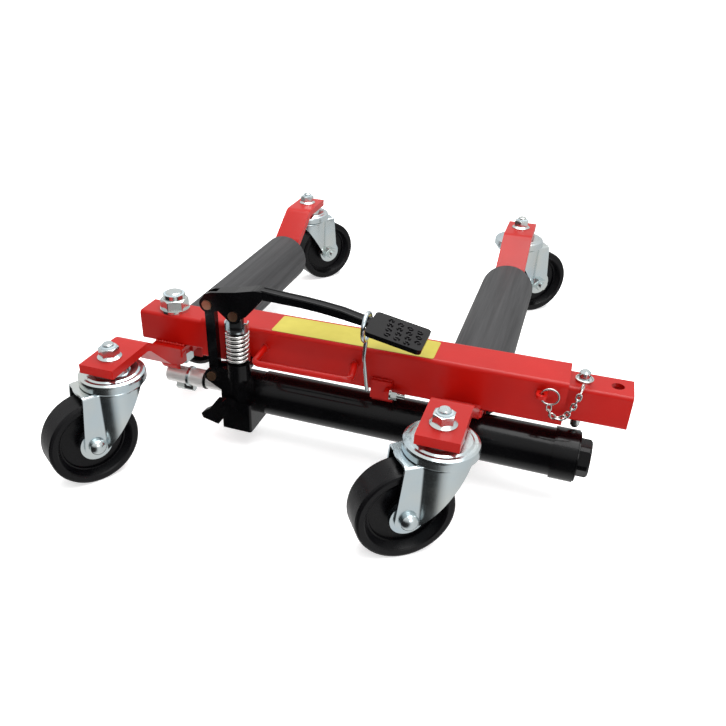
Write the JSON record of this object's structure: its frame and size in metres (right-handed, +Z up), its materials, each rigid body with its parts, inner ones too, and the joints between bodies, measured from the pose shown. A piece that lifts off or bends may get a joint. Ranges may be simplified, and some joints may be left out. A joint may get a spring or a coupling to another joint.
{
  "type": "wheel dolly",
  "caption": "Hydraulic wheel dolly: telescoping steel beam with foot pump, tyre rollers on side arms, swivel casters and a chained lock pin.",
  "frame": {"origin": "floor under the middle of the dolly's outline box", "axes": "+X along the beam away from the pump's lever end, +Y from the beam along the rollers to the rear casters, +Z up"},
  "size_m": [0.5735, 0.7376, 0.2008],
  "materials": {
    "red_paint": "gloss",
    "black_paint": "gloss",
    "zinc": "bright zinc plate",
    "chrome": "polished",
    "roller_paint": "satin",
    "wheel_plastic": "gloss",
    "nickel": "bright",
    "copper": "bright"
  },
  "bodies": {
    "frame": {"outer_tube": "red_paint", "right_arm_plate": "red_paint", "right_arm_shaft": "zinc", "right_rear_bracket": "red_paint", "right_front_bracket": "red_paint", "pump_block": "black_paint", "cylinder_tube": "black_paint", "cylinder_collar": "black_paint", "cylinder_plug": "black_paint", "carry_handle": "red_paint", "chain_eye": "red_paint", "cylinder_lug": "red_paint", "lug_bolt": "zinc", "link_foot_pin": "copper", "right_kingpins": "zinc", "right_swivel_cups": "zinc", "right_swivel_balls": "chrome"},
    "inner_slide": {"inner_tube": "red_paint", "left_front_bracket": "red_paint", "pivot_bolt": "zinc", "pivot_nut": "zinc", "ram_rod": "chrome", "ram_lug": "red_paint", "piston": "chrome", "rod_collar": "zinc", "front_left_kingpin": "zinc", "front_left_swivel_cup": "zinc", "front_left_swivel_balls": "chrome", "lock_chain": "nickel"},
    "left_arm": {"left_arm_eye": "red_paint", "left_arm_shaft": "zinc", "left_rear_bracket": "red_paint", "rear_left_kingpin": "zinc", "rear_left_swivel_cup": "zinc", "rear_left_swivel_balls": "chrome"},
    "left_roller": {"left_roller": "roller_paint", "left_roller_bushes": "black_paint"},
    "right_roller": {"right_roller": "roller_paint", "right_roller_bushes": "black_paint"},
    "pedal": {"pedal_lever": "black_paint", "pedal_pins": "copper"},
    "pump_link": {"pump_link": "black_paint"},
    "plunger": {"plunger": "chrome", "spring_cap": "zinc", "return_spring": "chrome"},
    "release_lever": {"release_lever": "black_paint"},
    "hold_down_hook": {"hold_down_hook": "zinc"},
    "lock_pin": {"lock_pin": "zinc"},
    "front_left_swivel": {"front_left_fork": "zinc", "front_left_axle": "zinc"},
    "front_left_wheel": {"front_left_wheel": "wheel_plastic"},
    "front_right_swivel": {"front_right_fork": "zinc", "front_right_axle": "zinc"},
    "front_right_wheel": {"front_right_wheel": "wheel_plastic"},
    "rear_left_swivel": {"rear_left_fork": "zinc", "rear_left_axle": "zinc"},
    "rear_left_wheel": {"rear_left_wheel": "wheel_plastic"},
    "rear_right_swivel": {"rear_right_fork": "zinc", "rear_right_axle": "zinc"},
    "rear_right_wheel": {"rear_right_wheel": "wheel_plastic"}
  },
  "joints": [
    {"name": "beam_slide", "type": "slide", "parent": "frame", "child": "inner_slide", "axis": [1, 0, 0], "range_m": [-0.0045, 0.022], "deforming": ["lock_chain"]},
    {"name": "arm_fold", "type": "hinge", "parent": "inner_slide", "child": "left_arm", "pos_m": [-0.2282, -0.1536, 0.086], "axis": [0, 0, -1], "range_deg": [0, 15]},
    {"name": "left_roller_spin", "type": "hinge", "parent": "left_arm", "child": "left_roller", "pos_m": [-0.2282, 0.0464, 0.0765], "axis": [0, 1, 0], "continuous": true},
    {"name": "right_roller_spin", "type": "hinge", "parent": "frame", "child": "right_roller", "pos_m": [0.1258, 0.0464, 0.0765], "axis": [0, 1, 0], "continuous": true},
    {"name": "front_left_swivel_turn", "type": "hinge", "parent": "inner_slide", "child": "front_left_swivel", "pos_m": [-0.2282, -0.2906, 0.115], "axis": [0, 0, 1], "continuous": true},
    {"name": "front_left_wheel_roll", "type": "hinge", "parent": "front_left_swivel", "child": "front_left_wheel", "pos_m": [-0.24714, -0.31944, 0.05], "axis": [-0.8358, 0.549, 0], "continuous": true},
    {"name": "front_right_swivel_turn", "type": "hinge", "parent": "frame", "child": "front_right_swivel", "pos_m": [0.1258, -0.2876, 0.115], "axis": [0, 0, 1], "continuous": true},
    {"name": "front_right_wheel_roll", "type": "hinge", "parent": "front_right_swivel", "child": "front_right_wheel", "pos_m": [0.0975, -0.30734, 0.05], "axis": [-0.5721, 0.8202, 0], "continuous": true},
    {"name": "rear_left_swivel_turn", "type": "hinge", "parent": "left_arm", "child": "rear_left_swivel", "pos_m": [-0.2282, 0.2934, 0.115], "axis": [0, 0, 1], "continuous": true},
    {"name": "rear_left_wheel_roll", "type": "hinge", "parent": "rear_left_swivel", "child": "rear_left_wheel", "pos_m": [-0.20715, 0.32073, 0.05], "axis": [0.7923, -0.6101, 0], "continuous": true},
    {"name": "rear_right_swivel_turn", "type": "hinge", "parent": "frame", "child": "rear_right_swivel", "pos_m": [0.1258, 0.2904, 0.115], "axis": [0, 0, 1], "continuous": true},
    {"name": "rear_right_wheel_roll", "type": "hinge", "parent": "rear_right_swivel", "child": "rear_right_wheel", "pos_m": [0.1528, 0.31188, 0.05], "axis": [0.6225, -0.7826, 0], "continuous": true},
    {"name": "link_rock", "type": "hinge", "parent": "frame", "child": "pump_link", "pos_m": [-0.1532, -0.1986, 0.087], "axis": [0, 1, 0], "range_deg": [-0.9, 0.15]},
    {"name": "pedal_press", "type": "hinge", "parent": "pump_link", "child": "pedal", "pos_m": [-0.1542, -0.1986, 0.1755], "axis": [0, 1, 0], "range_deg": [-28, 3]},
    {"name": "plunger_slide", "type": "slide", "parent": "frame", "child": "plunger", "axis": [0, 0, 1], "range_m": [-0.002, 0.0165], "deforming": ["return_spring"]},
    {"name": "release_press", "type": "hinge", "parent": "frame", "child": "release_lever", "pos_m": [-0.1292, -0.2186, 0.055], "axis": [0, -1, 0], "range_deg": [0, 18], "stiffness_Nm_per_rad": 0.5, "springref_deg": -17.19},
    {"name": "hook_swing", "type": "hinge", "parent": "pedal", "child": "hold_down_hook", "pos_m": [0.025, -0.1986, 0.177], "axis": [-1, 0, 0], "range_deg": [0, 40]},
    {"name": "pin_lift", "type": "slide", "parent": "inner_slide", "child": "lock_pin", "axis": [0, 0, 1], "range_m": [0, 0.055], "deforming": ["lock_chain"]}
  ],
  "couplings": [
    {"joint": "link_rock", "follows": "pedal_press", "ratio": 0.028},
    {"joint": "plunger_slide", "follows": "pedal_press", "m_per_rad": -0.0319}
  ]
}
